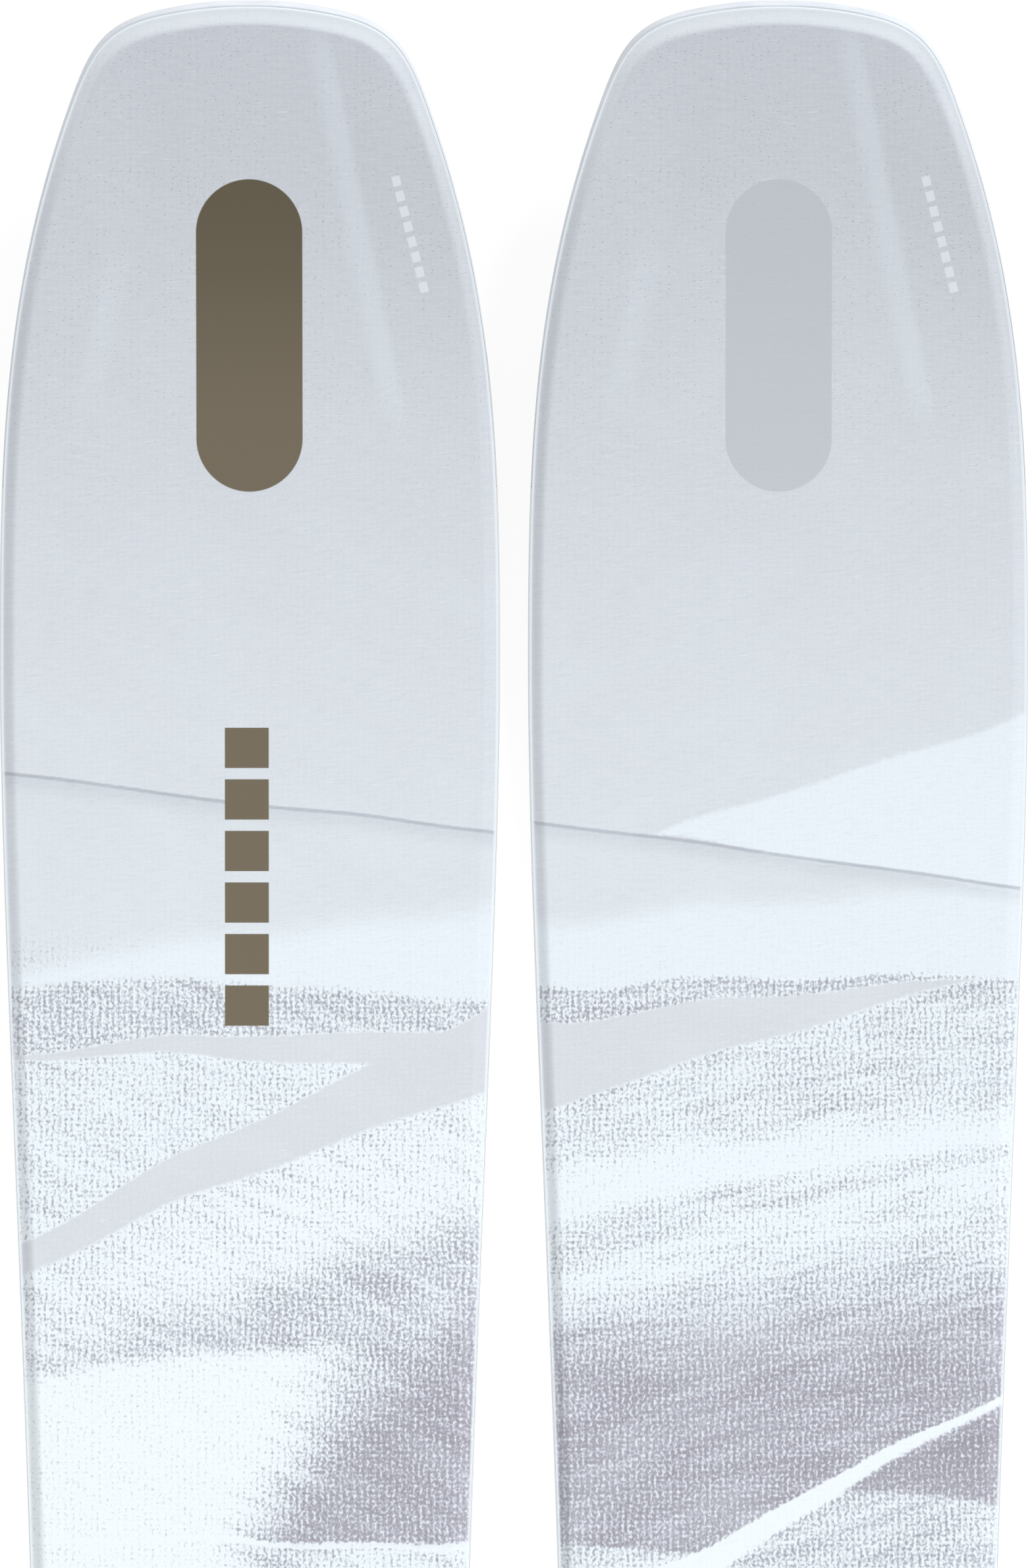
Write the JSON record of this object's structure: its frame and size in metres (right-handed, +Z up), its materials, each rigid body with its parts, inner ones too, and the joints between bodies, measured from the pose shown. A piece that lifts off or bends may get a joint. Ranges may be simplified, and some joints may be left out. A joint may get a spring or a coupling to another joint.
{
  "type": "pair of freeride skis",
  "caption": "Pair of wide freeride touring skis side by side: rockered blunt tips, rolled cap edges, steel edges, wood core laminate and notched tails, no bindings.",
  "frame": {"origin": "on the floor that the skis lie on, midway between the two skis and midway between tip and tail", "axes": "+Y towards the tips, +Z up, +X towards the right ski"},
  "size_m": [0.2714, 1.6393, 0.0595],
  "materials": {
    "topsheet_left": "satin polyamide sheet printed with a pale painted-canvas wash, one bronze bar with round ends and a row of plain blocks",
    "topsheet_right": "satin polyamide sheet printed with a pale painted-canvas wash and one faint grey bar with round ends",
    "fibreglass": "resin-filled triaxial glass cloth",
    "titanal": "brushed rolled sheet",
    "poplar": "planed, straight grain along the ski",
    "paulownia": "planed, open grain along the ski",
    "sidewall": "milled ABS with fine lengthwise tool marks",
    "rim": "moulded ABS, satin",
    "carbon_mesh": "resin-filled carbon mesh",
    "rubber": "thin rubber foil",
    "edge_steel": "ground hardened steel",
    "base": "sintered polyethylene with a fine stone-ground structure",
    "protector": "moulded thermoplastic, fine texture"
  },
  "bodies": {
    "left_ski": {"left_topsheet": "topsheet_left", "left_upper_laminate": "fibreglass", "left_titanal_backbone": "titanal", "left_core_stringer_1": "poplar", "left_core_stringer_2": "paulownia", "left_core_stringer_3": "poplar", "left_core_stringer_4": "paulownia", "left_core_stringer_5": "poplar", "left_sidewall_left": "sidewall", "left_sidewall_right": "sidewall", "left_tip_spacer": "rim", "left_tail_spacer": "rim", "left_lower_laminate": "fibreglass", "left_carbon_mesh": "carbon_mesh", "left_damping_strip_left": "rubber", "left_damping_strip_right": "rubber", "left_steel_edge_left": "edge_steel", "left_steel_edge_right": "edge_steel", "left_base": "base", "left_tail_protector": "protector"},
    "right_ski": {"right_topsheet": "topsheet_right", "right_upper_laminate": "fibreglass", "right_titanal_backbone": "titanal", "right_core_stringer_1": "poplar", "right_core_stringer_2": "paulownia", "right_core_stringer_3": "poplar", "right_core_stringer_4": "paulownia", "right_core_stringer_5": "poplar", "right_sidewall_left": "sidewall", "right_sidewall_right": "sidewall", "right_tip_spacer": "rim", "right_tail_spacer": "rim", "right_lower_laminate": "fibreglass", "right_carbon_mesh": "carbon_mesh", "right_damping_strip_left": "rubber", "right_damping_strip_right": "rubber", "right_steel_edge_left": "edge_steel", "right_steel_edge_right": "edge_steel", "right_base": "base", "right_tail_protector": "protector"}
  },
  "joints": [
    {"name": "glide", "type": "slide", "parent": "left_ski", "child": "right_ski", "axis": [0, 1, 0], "range_m": [-0.45, 0.45]}
  ]
}
